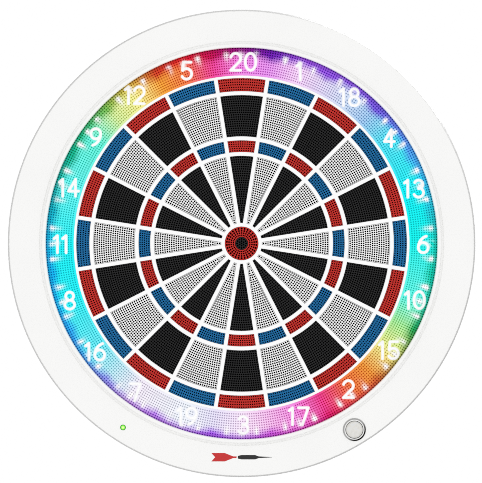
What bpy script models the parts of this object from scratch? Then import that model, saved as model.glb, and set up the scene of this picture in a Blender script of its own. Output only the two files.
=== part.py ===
"""Electronic dartboard for soft-tip darts, hung on a wall.

Metres, +Z up. The wall is the plane y = 0 and the board faces -Y, so depths are negative.
The origin is the middle of the back, where the board lies against the wall.
Angles run clockwise from the top, as a player in front of the board sees them.
Every scoring segment is a key that slides towards the wall and presses a sensor sheet.
"""

from math import asin, cos, pi, radians, sin

import bmesh
import bpy

# ---------------------------------------------------------------- driving dimensions
NUMBERS = (20, 1, 18, 4, 13, 6, 10, 15, 2, 17, 3, 19, 7, 16, 8, 11, 14, 9, 12, 5)
WEDGE = 2 * pi / len(NUMBERS)
ARC_STEPS = 3                       # straight pieces in one wedge's arc
SHELL_STEPS = ARC_STEPS * len(NUMBERS)
GAP = 0.0003                        # clearance between neighbouring pieces

# playing face, radii of the openings in the spider
BULL_RADIUS = 0.0075
OUTER_BULL_RADIUS = 0.01965
INNER_SINGLE = (0.0244, 0.1042)
TREBLE = (0.1090, 0.1227)
OUTER_SINGLE = (0.1276, 0.1766)
DOUBLE = (0.1814, 0.19685)
SPIDER_RADIUS = 0.2001
BAR_WIDTH = 0.0047                  # width of the radial bars
KEY_LIP = 0.0012                    # how far a key's flange reaches behind the bars

# playing face, depths
KEY_FRONT = -0.0320
KEY_STEP = -0.0227                  # where a key widens into its flange
KEY_BACK = -0.0205
SPIDER_FRONT = -0.0330
SPIDER_BACK = KEY_STEP - GAP
SPIDER_WALL = 0.0015                # thickness of the wall that carries the spider
SPIDER_FOOT = (0.2055, -0.0179, -0.0159)   # radius, front and back of its foot

# layers behind the keys: radius, front, back
RUBBER_MAT = (0.1978, -0.0187, -0.0167)
SENSOR_MEMBRANE = (0.1978, -0.0164, -0.0159)
BACKING_PLATE = (0.2058, -0.0156, -0.0126)
DAMPING_PAD = (0.1900, -0.0123, -0.0073)

# lit ring round the playing face
NUMBER_RING = (0.2006, 0.2365)
NUMBER_RING_FRONT = -0.0280
NUMBER_RING_THICKNESS = 0.0025
LED_BOARD = (0.2066, 0.2365, -0.0180, -0.0164)

# front bezel
BEZEL_RADIUS = 0.2785
BEZEL_FRONT = -0.0360
BEZEL_BACK = -0.0160
BEZEL_WALL = 0.0025
BEZEL_FILLET = 0.0035
RIM_INNER = 0.2334                  # raised rim round the lit ring
RIM_OUTER = 0.2376
RIM_FRONT = -0.0375
GROOVE_OUTER = 0.2410
GROOVE_DEPTH = 0.0008

# rear housing
HOUSING_RADIUS = 0.2760
HOUSING_WALL = 0.0025
HOUSING_FRONT = -0.0260
HOUSING_FILLET = 0.0040
POST_RADIUS = 0.0040
BEZEL_POSTS = (0.2620, radians(20), radians(75), radians(125))
LED_POSTS = (0.2215, radians(30), radians(90), radians(150))
PLATE_POSTS = (0.2000, radians(30), radians(90), radians(150))

# push button and status light, low on the bezel
BUTTON_ANGLE = radians(148.8)
BUTTON_DISTANCE = 0.2590
BUTTON_RING_RADIUS = 0.0140
BUTTON_HOLE_RADIUS = 0.0125
BUTTON_BORE_RADIUS = 0.0106
BUTTON_CAP_RADIUS = 0.0103
BUTTON_FRONT = -0.0384
LIGHT_ANGLE = radians(212.8)
LIGHT_DISTANCE = 0.2605
LIGHT_RADIUS = 0.0032

# circuit board with its USB socket, at the bottom of the housing
BOARD_HALF_WIDTH = 0.0450
BOARD_Z = (-0.2680, -0.2430)
BOARD_DEPTHS = (-0.0069, -0.0053)
USB_SIZE = (0.0090, 0.0032, 0.0074)
USB_WALL = 0.0004

# steel hanger behind the window in the housing's back, near the top
HANGER_CENTRE_Z = 0.2130
HANGER_HALF_WIDTH = 0.0220
HANGER_HALF_HEIGHT = 0.0230
HANGER_THICKNESS = 0.0015
WINDOW_HALF_WIDTH = 0.0120
WINDOW_HALF_HEIGHT = 0.0170
KEYHOLE_RADIUS = 0.0055
KEYHOLE_SLOT_HALF = 0.00275
KEYHOLE_DROP = 0.0120               # from the round hole up to the end of the slot

COLOURS = {
    "white_plastic": ((0.86, 0.86, 0.85), 0.35, 0.0),
    "segment_white": ((0.82, 0.82, 0.81), 0.40, 0.0),
    "segment_black": ((0.012, 0.012, 0.013), 0.45, 0.0),
    "segment_red": ((0.48, 0.015, 0.012), 0.40, 0.0),
    "segment_blue": ((0.010, 0.10, 0.24), 0.40, 0.0),
    "lit_ring": ((0.75, 0.78, 0.85), 0.45, 0.0),
    "rubber": ((0.010, 0.010, 0.010), 0.80, 0.0),
    "foam": ((0.05, 0.05, 0.055), 0.95, 0.0),
    "film": ((0.60, 0.62, 0.60), 0.30, 0.0),
    "circuit_board": ((0.02, 0.16, 0.06), 0.50, 0.0),
    "black_plastic": ((0.015, 0.015, 0.016), 0.50, 0.0),
    "chrome": ((0.75, 0.75, 0.76), 0.12, 1.0),
    "pearl": ((0.80, 0.79, 0.77), 0.25, 0.0),
    "steel": ((0.55, 0.55, 0.56), 0.30, 1.0),
    "green_lens": ((0.15, 0.65, 0.06), 0.20, 0.0),
}


# ---------------------------------------------------------------- helpers
def clear_scene():
    for obj in list(bpy.data.objects):
        bpy.data.objects.remove(obj, do_unlink=True)


def make_material(name, look):
    colour, roughness, metallic = COLOURS[look]
    material = bpy.data.materials.new(name)
    material.use_nodes = True
    shader = material.node_tree.nodes["Principled BSDF"]
    shader.inputs["Base Color"].default_value = (*colour, 1.0)
    shader.inputs["Roughness"].default_value = roughness
    shader.inputs["Metallic"].default_value = metallic
    material.diffuse_color = (*colour, 1.0)
    return material


def place(distance, angle):
    """The x and z of a point at a distance from the board's centre."""
    return distance * sin(angle), distance * cos(angle)


def finish_mesh(bm, name, smooth=True):
    """Weld the mesh, turn its faces outwards and shade it."""
    bmesh.ops.remove_doubles(bm, verts=bm.verts[:], dist=1e-6)
    bmesh.ops.recalc_face_normals(bm, faces=bm.faces[:])
    mesh = bpy.data.meshes.new(name)
    bm.to_mesh(mesh)
    bm.free()
    if smooth:
        mesh.shade_smooth()
        mesh.set_sharp_from_angle(angle=radians(30))
    return mesh


def add_object(name, mesh, look, parent, location=(0, 0, 0), turn=0.0):
    """One named piece with its own material, placed by location and a turn about +Y."""
    obj = bpy.data.objects.new(name, mesh)
    bpy.context.scene.collection.objects.link(obj)
    obj.location = location
    obj.rotation_euler = (0.0, turn, 0.0)
    obj.parent = parent
    if not mesh.materials:
        mesh.materials.append(None)
    obj.material_slots[0].link = "OBJECT"
    obj.material_slots[0].material = make_material(name, look)
    return obj


def add_cutter(name, mesh, location=(0, 0, 0)):
    """A helper solid for a Boolean, which is no part of the object itself."""
    cutter = bpy.data.objects.new(name, mesh)
    bpy.context.scene.collection.objects.link(cutter)
    cutter.location = location
    cutter.hide_render = True
    cutter.display_type = "WIRE"
    return cutter


def combine(obj, other, operation):
    modifier = obj.modifiers.new(other.name, "BOOLEAN")
    modifier.operation = operation
    modifier.solver = "EXACT"
    modifier.object = other


def turned_mesh(name, profile, steps, closed=True):
    """Spin a profile of (radius, depth) points about the y axis."""
    bm = bmesh.new()
    verts = [bm.verts.new((radius, depth, 0.0)) for radius, depth in profile]
    pairs = list(zip(verts, verts[1:]))
    if closed:
        pairs.append((verts[-1], verts[0]))
    edges = [bm.edges.new(pair) for pair in pairs]
    bmesh.ops.spin(bm, geom=verts + edges, cent=(0, 0, 0), axis=(0, 1, 0),
                   angle=2 * pi, steps=steps, use_merge=True)
    return finish_mesh(bm, name)


def disc_mesh(name, radius, front, back, steps=SHELL_STEPS):
    profile = [(0.0, front), (radius, front), (radius, back), (0.0, back)]
    return turned_mesh(name, profile, steps, closed=False)


def box_mesh(name, x, y, z):
    """A box between two x, two y and two z values."""
    bm = bmesh.new()
    add_box(bm, x, y, z)
    return finish_mesh(bm, name, smooth=False)


def add_box(bm, x, y, z):
    solid = bmesh.ops.create_cube(bm, size=1.0)["verts"]
    for vert in solid:
        vert.co.x = x[0] if vert.co.x < 0 else x[1]
        vert.co.y = y[0] if vert.co.y < 0 else y[1]
        vert.co.z = z[0] if vert.co.z < 0 else z[1]


def add_post(bm, radius, x, z, front, back, sides=8):
    """A round post that runs along y."""
    rings = []
    for depth in (front, back):
        ring = []
        for i in range(sides):
            angle = 2 * pi * (i + 0.5) / sides
            ring.append(bm.verts.new((x + radius * sin(angle), depth, z + radius * cos(angle))))
        rings.append(ring)
    for i in range(sides):
        j = (i + 1) % sides
        bm.faces.new((rings[0][i], rings[0][j], rings[1][j], rings[1][i]))
    bm.faces.new(rings[0])
    bm.faces.new(rings[1])


# ---------------------------------------------------------------- wedges
def sector(inner, outer, inset):
    """One wedge's outline as (radius, angle) points, its sides held inset from the wedge's edges."""
    points = []
    for radius, sense in ((inner, 1), (outer, -1)):
        half = WEDGE / 2 - asin(inset / radius)
        for i in range(ARC_STEPS + 1):
            points.append((radius, sense * half * (2 * i / ARC_STEPS - 1)))
    return points


def add_loop(bm, outline, depth, turn=0.0):
    loop = []
    for radius, angle in outline:
        x, z = place(radius, angle + turn)
        loop.append(bm.verts.new((x, depth, z)))
    return loop


def bridge(bm, first, second, skip=()):
    """Faces between two loops with the same number of points."""
    count = len(first)
    for i in range(count):
        if i not in skip:
            j = (i + 1) % count
            bm.faces.new((first[i], first[j], second[j], second[i]))


SIDES = (ARC_STEPS, 2 * ARC_STEPS + 1)      # the two straight sides of a sector's outline
INNER_ARC = tuple(range(ARC_STEPS))
OUTER_ARC = tuple(range(ARC_STEPS + 1, 2 * ARC_STEPS + 1))


def key_outlines(band, joined):
    """A key's face outline and the outline of the flange behind it."""
    face = sector(band[0] + GAP, band[1] - GAP, BAR_WIDTH / 2 + GAP)
    flange_inset = 0.0 if joined else BAR_WIDTH / 2 + GAP - KEY_LIP
    flange = sector(band[0] + GAP - KEY_LIP, band[1] - GAP + KEY_LIP, flange_inset)
    return face, flange


def add_key(bm, band, turn=0.0, joined=False):
    """A scoring segment: a thick face plate on a slightly wider flange."""
    face, flange = key_outlines(band, joined)
    front = add_loop(bm, face, KEY_FRONT, turn)
    step = add_loop(bm, face, KEY_STEP, turn)
    flange_front = add_loop(bm, flange, KEY_STEP, turn)
    flange_back = add_loop(bm, flange, KEY_BACK, turn)
    bm.faces.new(front)
    bridge(bm, front, step)
    bridge(bm, step, flange_front)
    bridge(bm, flange_front, flange_back, skip=SIDES if joined else ())
    bm.faces.new(flange_back)


def single_key_mesh(name, band):
    bm = bmesh.new()
    add_key(bm, band)
    return finish_mesh(bm, name, smooth=False)


def joined_keys_mesh(name, band):
    """Twenty keys whose flanges run on into each other behind the radial bars."""
    bm = bmesh.new()
    for index in range(len(NUMBERS)):
        add_key(bm, band, turn=index * WEDGE, joined=True)
    return finish_mesh(bm, name, smooth=False)


def spider_mesh(name):
    """The web between the keys, built as a frame round each opening and welded together."""
    hub = OUTER_BULL_RADIUS + GAP
    bands = (INNER_SINGLE, TREBLE, OUTER_SINGLE, DOUBLE)
    middles = [(low[1] + high[0]) / 2 for low, high in zip(bands, bands[1:])]
    inner_edges = [hub] + middles
    outer_edges = middles + [SPIDER_RADIUS]
    wall_inner = SPIDER_RADIUS - SPIDER_WALL
    foot_radius, foot_front, foot_back = SPIDER_FOOT
    bm = bmesh.new()
    for index in range(len(NUMBERS)):
        turn = index * WEDGE
        for band, inner, outer in zip(bands, inner_edges, outer_edges):
            outermost = band is DOUBLE
            opening = sector(band[0], band[1], BAR_WIDTH / 2)
            front_edge = sector(inner, outer, 0.0)
            back_edge = sector(inner, wall_inner if outermost else outer, 0.0)
            front = add_loop(bm, front_edge, SPIDER_FRONT, turn)
            front_hole = add_loop(bm, opening, SPIDER_FRONT, turn)
            back_hole = add_loop(bm, opening, SPIDER_BACK, turn)
            back = add_loop(bm, back_edge, SPIDER_BACK, turn)
            bridge(bm, front, front_hole)
            bridge(bm, front_hole, back_hole)
            bridge(bm, back_hole, back)
            if band is INNER_SINGLE:
                bridge(bm, back, front, skip=SIDES + OUTER_ARC)
            if outermost:
                rings = [front]
                for radius, depth in ((SPIDER_RADIUS, foot_front), (foot_radius, foot_front),
                                      (foot_radius, foot_back), (wall_inner, foot_back)):
                    rings.append(add_loop(bm, sector(inner, radius, 0.0), depth, turn))
                rings.append(back)
                for first, second in zip(rings, rings[1:]):
                    bridge(bm, first, second, skip=SIDES + INNER_ARC)
    loose = [vert for vert in bm.verts if not vert.link_faces]
    bmesh.ops.delete(bm, geom=loose, context="VERTS")
    return finish_mesh(bm, name, smooth=False)


def make_keys(board):
    """Doubles and trebles are separate keys; each ring of singles is one joined set."""
    for prefix, band in (("double", DOUBLE), ("treble", TREBLE)):
        mesh = single_key_mesh(prefix + "_key", band)
        for index, number in enumerate(NUMBERS):
            look = "segment_blue" if index % 2 else "segment_red"
            add_object(f"{prefix}_{number:02d}", mesh, look, board, turn=index * WEDGE)
    for name, band in (("outer_singles", OUTER_SINGLE), ("inner_singles", INNER_SINGLE)):
        add_object(name, joined_keys_mesh(name, band), "segment_white", board)

    bore = BULL_RADIUS + GAP
    face = OUTER_BULL_RADIUS
    flange = face + KEY_LIP
    ring = [(bore, KEY_FRONT), (face, KEY_FRONT), (face, KEY_STEP),
            (flange, KEY_STEP), (flange, KEY_BACK), (bore, KEY_BACK)]
    add_object("outer_bull", turned_mesh("outer_bull", ring, 30), "segment_red", board)
    disc = disc_mesh("bull", BULL_RADIUS, KEY_FRONT, KEY_BACK, 20)
    add_object("bull", disc, "segment_black", board)


# ---------------------------------------------------------------- fixed parts
def make_layers(board):
    for name, size, look in (("rubber_mat", RUBBER_MAT, "rubber"),
                             ("sensor_membrane", SENSOR_MEMBRANE, "film"),
                             ("backing_plate", BACKING_PLATE, "black_plastic"),
                             ("damping_pad", DAMPING_PAD, "foam")):
        add_object(name, disc_mesh(name, *size), look, board)


def make_lit_ring(board):
    inner, outer = NUMBER_RING
    front = NUMBER_RING_FRONT
    back = front + NUMBER_RING_THICKNESS
    skirt = outer - NUMBER_RING_THICKNESS
    board_inner, board_outer, board_front, board_back = LED_BOARD
    foot = board_front - GAP
    profile = [(inner, front), (outer, front), (outer, foot), (skirt, foot), (skirt, back), (inner, back)]
    add_object("number_ring", turned_mesh("number_ring", profile, SHELL_STEPS), "lit_ring", board)
    flat = [(board_inner, board_front), (board_outer, board_front),
            (board_outer, board_back), (board_inner, board_back)]
    add_object("led_board", turned_mesh("led_board", flat, SHELL_STEPS), "circuit_board", board)


def bezel_profile():
    """Section of the bezel: skirt, rounded edge, flat face, groove, raised rim and inner wall."""
    plate_back = BEZEL_FRONT + BEZEL_WALL
    skirt_inner = HOUSING_RADIUS + GAP
    ledge = NUMBER_RING_FRONT - GAP
    wall_inner = NUMBER_RING[1] + 0.0005
    wall_outer = wall_inner + BEZEL_WALL
    wall_back = NUMBER_RING_FRONT + 0.0040
    centre = (BEZEL_RADIUS - BEZEL_FILLET, BEZEL_FRONT + BEZEL_FILLET)
    profile = [(BEZEL_RADIUS, BEZEL_BACK)]
    for step in range(4):
        angle = step / 3 * pi / 2
        profile.append((centre[0] + BEZEL_FILLET * cos(angle), centre[1] - BEZEL_FILLET * sin(angle)))
    profile += [
        (GROOVE_OUTER, BEZEL_FRONT),
        (GROOVE_OUTER - GROOVE_DEPTH, BEZEL_FRONT + GROOVE_DEPTH),
        (RIM_OUTER + GROOVE_DEPTH, BEZEL_FRONT + GROOVE_DEPTH),
        (RIM_OUTER, RIM_FRONT),
        (RIM_INNER, RIM_FRONT),
        (RIM_INNER, ledge),
        (wall_inner, ledge),
        (wall_inner, wall_back),
        (wall_outer, wall_back),
        (wall_outer, plate_back),
        (skirt_inner - BEZEL_WALL, plate_back),
        (skirt_inner, plate_back + BEZEL_WALL),
        (skirt_inner, BEZEL_BACK),
    ]
    return profile


def make_bezel(board):
    bezel = add_object("front_bezel", turned_mesh("front_bezel", bezel_profile(), SHELL_STEPS),
                       "white_plastic", board)
    plate_back = BEZEL_FRONT + BEZEL_WALL
    bm = bmesh.new()
    for distance, angle, radius, sides in (
            (BUTTON_DISTANCE, BUTTON_ANGLE, BUTTON_HOLE_RADIUS, 24),
            (LIGHT_DISTANCE, LIGHT_ANGLE, LIGHT_RADIUS + GAP, 12)):
        x, z = place(distance, angle)
        add_post(bm, radius, x, z, BEZEL_FRONT - 0.002, plate_back + 0.002, sides)
    holes = add_cutter("bezel_holes", finish_mesh(bm, "bezel_holes"))
    bm = bmesh.new()
    for angle in BEZEL_POSTS[1:]:
        for side in (-1, 1):
            x, z = place(BEZEL_POSTS[0], side * angle)
            add_post(bm, POST_RADIUS, x, z, plate_back - BEZEL_WALL / 2, -HOUSING_WALL - GAP, sides=6)
    posts = add_cutter("bezel_posts", finish_mesh(bm, "bezel_posts"))
    combine(bezel, posts, "UNION")
    combine(bezel, holes, "DIFFERENCE")


def housing_profile():
    """Section of the rear housing: a shallow dish, open at the front."""
    centre = (HOUSING_RADIUS - HOUSING_FILLET, -HOUSING_FILLET)
    inner = HOUSING_RADIUS - HOUSING_WALL
    profile = [(0.0, 0.0)]
    for step in range(3):
        angle = step / 2 * pi / 2
        profile.append((centre[0] + HOUSING_FILLET * sin(angle), centre[1] + HOUSING_FILLET * cos(angle)))
    profile += [(HOUSING_RADIUS, HOUSING_FRONT), (inner, HOUSING_FRONT),
                (inner, -HOUSING_WALL), (0.0, -HOUSING_WALL)]
    return profile


def make_housing(board):
    housing = add_object("rear_housing",
                         turned_mesh("rear_housing", housing_profile(), SHELL_STEPS, closed=False),
                         "black_plastic", board)
    root = -HOUSING_WALL / 2                # the posts start inside the back wall
    bm = bmesh.new()
    for row, top in ((LED_POSTS, LED_BOARD[3]), (PLATE_POSTS, BACKING_PLATE[2])):
        for angle in row[1:]:
            for side in (-1, 1):
                x, z = place(row[0], side * angle)
                add_post(bm, POST_RADIUS, x, z, top + GAP, root, sides=6)
    for x in (-BOARD_HALF_WIDTH + 0.005, BOARD_HALF_WIDTH - 0.005):
        z = sum(BOARD_Z) / 2
        add_post(bm, POST_RADIUS, x, z, BOARD_DEPTHS[1] + GAP, root, sides=6)
    x, z = place(BUTTON_DISTANCE, BUTTON_ANGLE)
    add_post(bm, POST_RADIUS, x, z, SWITCH_BOARD[1] + GAP, root, sides=6)
    posts = add_cutter("housing_posts", finish_mesh(bm, "housing_posts"))
    combine(housing, posts, "UNION")

    width, thickness, length = USB_SIZE
    socket_back = BOARD_DEPTHS[0] - GAP
    bm = bmesh.new()
    add_box(bm, (-width / 2 - GAP, width / 2 + GAP),
            (socket_back - thickness - GAP, socket_back + GAP),
            (-HOUSING_RADIUS - 0.002, -HOUSING_RADIUS + HOUSING_WALL + 0.001))
    add_box(bm, (-WINDOW_HALF_WIDTH, WINDOW_HALF_WIDTH), (-HOUSING_WALL - 0.001, 0.001),
            (HANGER_CENTRE_Z - WINDOW_HALF_HEIGHT, HANGER_CENTRE_Z + WINDOW_HALF_HEIGHT))
    windows = add_cutter("housing_windows", finish_mesh(bm, "housing_windows", smooth=False))
    combine(housing, windows, "DIFFERENCE")


# ---------------------------------------------------------------- button and light
SWITCH_BOARD = (-0.0232, -0.0216)           # front and back of the switch's small board
SWITCH_BODY_FRONT = -0.0265
SWITCH_PLUNGER_FRONT = -0.0275
STEM_BACK = -0.0290


def make_button(board):
    x, z = place(BUTTON_DISTANCE, BUTTON_ANGLE)
    flange_back = BEZEL_FRONT - GAP
    flange_front = flange_back - 0.0013
    barrel = BUTTON_HOLE_RADIUS - 0.0004
    barrel_back = BEZEL_FRONT + 0.0060
    ring = [(BUTTON_BORE_RADIUS, flange_front), (BUTTON_RING_RADIUS - 0.0007, flange_front),
            (BUTTON_RING_RADIUS, flange_front + 0.0007), (BUTTON_RING_RADIUS, flange_back),
            (barrel, flange_back), (barrel, barrel_back), (BUTTON_BORE_RADIUS, barrel_back)]
    add_object("button_ring", turned_mesh("button_ring", ring, 24), "chrome", board, (x, 0, z))

    cap_back = BUTTON_FRONT + 0.0070
    stem = 0.0022
    cap = [(0.0, BUTTON_FRONT), (0.0070, BUTTON_FRONT + 0.0003), (0.0094, BUTTON_FRONT + 0.0009),
           (BUTTON_CAP_RADIUS, BUTTON_FRONT + 0.0020), (BUTTON_CAP_RADIUS, cap_back),
           (stem, cap_back), (stem, STEM_BACK), (0.0, STEM_BACK)]
    add_object("button_cap", turned_mesh("button_cap", cap, 24, closed=False), "pearl", board, (x, 0, z))

    half_board = 0.0090
    half_body = 0.0060
    bm = bmesh.new()
    add_box(bm, (-half_board, half_board), SWITCH_BOARD, (-half_board, half_board))
    switch = add_object("button_switch", finish_mesh(bm, "button_switch", smooth=False),
                        "black_plastic", board, (x, 0, z))
    bm = bmesh.new()
    inside = SWITCH_BOARD[0] + 0.0005
    add_box(bm, (-half_body, half_body), (SWITCH_BODY_FRONT, inside), (-half_body, half_body))
    body = add_cutter("switch_body", finish_mesh(bm, "switch_body", smooth=False), (x, 0, z))
    bm = bmesh.new()
    add_post(bm, 0.0025, 0.0, 0.0, SWITCH_PLUNGER_FRONT, SWITCH_BODY_FRONT + 0.0005)
    plunger = add_cutter("switch_plunger", finish_mesh(bm, "switch_plunger"), (x, 0, z))
    combine(switch, body, "UNION")
    combine(switch, plunger, "UNION")


def make_status_light(board):
    x, z = place(LIGHT_DISTANCE, LIGHT_ANGLE)
    collar_front = BEZEL_FRONT + BEZEL_WALL + GAP
    collar_back = collar_front + 0.0015
    lens = [(0.0, BEZEL_FRONT - 0.0012), (LIGHT_RADIUS * 0.7, BEZEL_FRONT - 0.0008),
            (LIGHT_RADIUS, BEZEL_FRONT), (LIGHT_RADIUS, collar_front),
            (LIGHT_RADIUS + 0.0013, collar_front), (LIGHT_RADIUS + 0.0013, collar_back), (0.0, collar_back)]
    add_object("status_lens", turned_mesh("status_lens", lens, 12, closed=False),
               "green_lens", board, (x, 0, z))


# ---------------------------------------------------------------- electronics and hanger
def make_electronics(board):
    half = BOARD_HALF_WIDTH
    add_object("main_board", box_mesh("main_board", (-half, half), BOARD_DEPTHS, BOARD_Z),
               "circuit_board", board)
    width, thickness, length = USB_SIZE
    back = BOARD_DEPTHS[0] - GAP
    mouth = -HOUSING_RADIUS + 0.0008
    bm = bmesh.new()
    add_box(bm, (-width / 2, width / 2), (back - thickness, back), (mouth, mouth + length))
    open_end = min(bm.faces, key=lambda face: face.calc_center_median().z)
    bmesh.ops.inset_region(bm, faces=[open_end], thickness=USB_WALL, use_even_offset=True)
    pushed = bmesh.ops.extrude_face_region(bm, geom=[open_end])
    bmesh.ops.delete(bm, geom=[open_end], context="FACES")
    bottom = [item for item in pushed["geom"] if isinstance(item, bmesh.types.BMVert)]
    bmesh.ops.translate(bm, verts=bottom, vec=(0, 0, length - 2 * USB_WALL))
    add_object("usb_socket", finish_mesh(bm, "usb_socket", smooth=False), "steel", board)


def keyhole_outline():
    """A round hole with a narrower slot running up from it, as (x, z) points."""
    centre_z = HANGER_CENTRE_Z - KEYHOLE_DROP / 2
    slot_z = centre_z + KEYHOLE_DROP
    opening = asin(KEYHOLE_SLOT_HALF / KEYHOLE_RADIUS)
    points = []
    for i in range(11):
        angle = opening + (2 * pi - 2 * opening) * i / 10
        points.append((KEYHOLE_RADIUS * sin(angle), centre_z + KEYHOLE_RADIUS * cos(angle)))
    for i in range(5):
        angle = -pi / 2 + pi * i / 4
        points.append((KEYHOLE_SLOT_HALF * sin(angle), slot_z + KEYHOLE_SLOT_HALF * cos(angle)))
    return points


def make_hanger(board):
    back = -HOUSING_WALL - GAP
    front = back - HANGER_THICKNESS
    hanger = add_object(
        "hanger_plate",
        box_mesh("hanger_plate", (-HANGER_HALF_WIDTH, HANGER_HALF_WIDTH), (front, back),
                 (HANGER_CENTRE_Z - HANGER_HALF_HEIGHT, HANGER_CENTRE_Z + HANGER_HALF_HEIGHT)),
        "steel", board)
    bm = bmesh.new()
    loops = []
    for depth in (front - 0.001, back + 0.001):
        loops.append([bm.verts.new((x, depth, z)) for x, z in keyhole_outline()])
        bm.faces.new(loops[-1])
    bridge(bm, loops[0], loops[1])
    combine(hanger, add_cutter("keyhole", finish_mesh(bm, "keyhole", smooth=False)), "DIFFERENCE")


def build():
    clear_scene()
    board = bpy.data.objects.new("dartboard", None)
    bpy.context.scene.collection.objects.link(board)
    make_keys(board)
    add_object("spider", spider_mesh("spider"), "white_plastic", board)
    make_layers(board)
    make_lit_ring(board)
    make_bezel(board)
    make_housing(board)
    make_button(board)
    make_status_light(board)
    make_electronics(board)
    make_hanger(board)


build()
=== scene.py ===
"""Looks of the electronic dartboard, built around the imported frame.

Metres, +Z up. The wall is the plane y = 0 and the board faces -Y, so depths are negative.
Angles run clockwise from the top, as a player in front of the board sees them.
Radii are those of the solid parts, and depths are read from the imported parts' boxes.
"""

from math import asin, atan2, ceil, cos, hypot, pi, radians, sin

import bmesh
import bpy
from mathutils import Matrix, Vector
from mathutils.geometry import delaunay_2d_cdt


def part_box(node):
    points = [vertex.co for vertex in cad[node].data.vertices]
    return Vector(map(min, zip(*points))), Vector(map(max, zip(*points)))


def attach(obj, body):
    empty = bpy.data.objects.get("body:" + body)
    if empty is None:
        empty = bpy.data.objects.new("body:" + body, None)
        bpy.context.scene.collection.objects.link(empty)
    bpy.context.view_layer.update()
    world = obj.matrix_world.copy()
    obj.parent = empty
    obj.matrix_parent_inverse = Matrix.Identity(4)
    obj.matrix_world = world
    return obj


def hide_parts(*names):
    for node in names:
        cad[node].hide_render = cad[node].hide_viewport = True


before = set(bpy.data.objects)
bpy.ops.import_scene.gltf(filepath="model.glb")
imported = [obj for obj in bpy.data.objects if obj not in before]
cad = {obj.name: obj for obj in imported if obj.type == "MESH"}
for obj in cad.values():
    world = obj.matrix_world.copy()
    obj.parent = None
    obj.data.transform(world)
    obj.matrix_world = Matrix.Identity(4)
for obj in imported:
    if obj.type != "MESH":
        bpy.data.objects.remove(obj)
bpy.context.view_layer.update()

# ---------------------------------------------------------------- driving dimensions
NUMBERS = (20, 1, 18, 4, 13, 6, 10, 15, 2, 17, 3, 19, 7, 16, 8, 11, 14, 9, 12, 5)
WEDGE = 2 * pi / len(NUMBERS)
GAP = 0.0003  # clearance between neighbouring parts
CUT_MARGIN = 0.001  # how far a cutter reaches past the surface that it opens
ROUND_STEPS = 240  # straight pieces in a full circle
ARC_STEPS = ROUND_STEPS // len(NUMBERS)

# playing face
BULL_RADIUS = 0.0075
OUTER_BULL_RADIUS = 0.01965
INNER_SINGLE = (0.0244, 0.1042)
TREBLE = (0.1090, 0.1227)
OUTER_SINGLE = (0.1276, 0.1766)
DOUBLE = (0.1814, 0.19685)
SPIDER_RADIUS = 0.2001
BAR_WIDTH = 0.0047
KEY_LIP = 0.0012  # how far a key's flange reaches behind the bars
KEY_FLANGE = 0.0022  # its thickness
KEY_BEVEL = 0.00035
SPIDER_WALL = 0.0015
SPIDER_ROUND = 0.0009  # rounding along the edges of the web
SPIDER_FOOT = (0.2055, -0.0179, -0.0159)  # radius, front and back
HUB_STEPS = 96  # straight pieces in the circles of the bull and its hub

# holes in the keys
SINGLE_HOLE_RADIUS = 0.00104
NARROW_HOLE_RADIUS = 0.00086  # in the doubles and trebles
HOLE_DEPTH = 0.0060
HOLE_SIDES = 8
HOLE_MARGIN = 0.0014  # from the edge of a key to the first row's centres
HOLE_PITCH = (0.00272, 0.00262)  # between rows, and along a row
OUTER_BULL_ROWS = 4
OUTER_BULL_COLUMNS = 30
OUTER_BULL_MARGIN = 0.0020
OUTER_BULL_HOLE_RADIUS = (0.00092, 0.00012)  # in the first row, and how much it grows by row
BULL_HOLES = ((0, 1), (1, 6), (2, 12))  # rows from the centre, and holes in each
BULL_HOLE_PITCH = 0.0027
BULL_HOLE_RADIUS = 0.0012

# lit ring with the numbers
RING = (0.2006, 0.2365)
RING_THICKNESS = 0.0025
RING_EDGE = 0.0004
RING_HOLES = (0.2036, 0.2326)  # first and last row's radius
RING_ROWS = 11
RING_COLUMNS = 24  # in one wedge
RING_HOLE_RADIUS = 0.00092
RING_HOLE_DEPTH = 0.0016
NUMERAL_SHIFT = (0.0018, -0.0010)  # the numbers sit a little right and low
NUMERAL_HEIGHT = 0.0203  # along the middle of the strokes
NUMERAL_STROKE = 0.0036
NUMERAL_RISE = 0.0011
NUMERAL_SOFT = 0.0005  # slope round the top of the strokes
NUMERAL_SINK = 0.0003  # how far they reach into the ring
NUMERAL_STEP = 0.0005  # fineness of their outlines
DIGIT_WIDTH = 0.0178  # room that a digit takes along a number
ONE_WIDTH = 0.0104

# light of the ring
RING_GLOW = 0.80
RING_PAINT = 0.22  # how much of the light's colour, with its painted shadow and hole shade, is painted into the plastic's own colour
HOLE_SHADE = 0.60
HOLE_DEEPENING = 0.9
FADE_START = 0.2216  # where the inner colour begins to turn into the outer one
FADE_DROP = 0.0022  # how much nearer that is at the top, and farther at the bottom
FADE_WIDTH = 0.0100
FADE_FOLD = 0.0050  # how much nearer it is between two numbers
FADE_WANDER = 0.0025
SHADOW_START = 0.2290
SHADOW_WIDTH = 0.0060
SHADOW_STRENGTH = 0.75
LED_DISTANCE = 0.2268
LED_SPACING = radians(4.6)  # three light sources behind each number
LED_SPREAD = (0.0025, 0.0021, 0.0062)  # sideways, outwards and inwards

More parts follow.
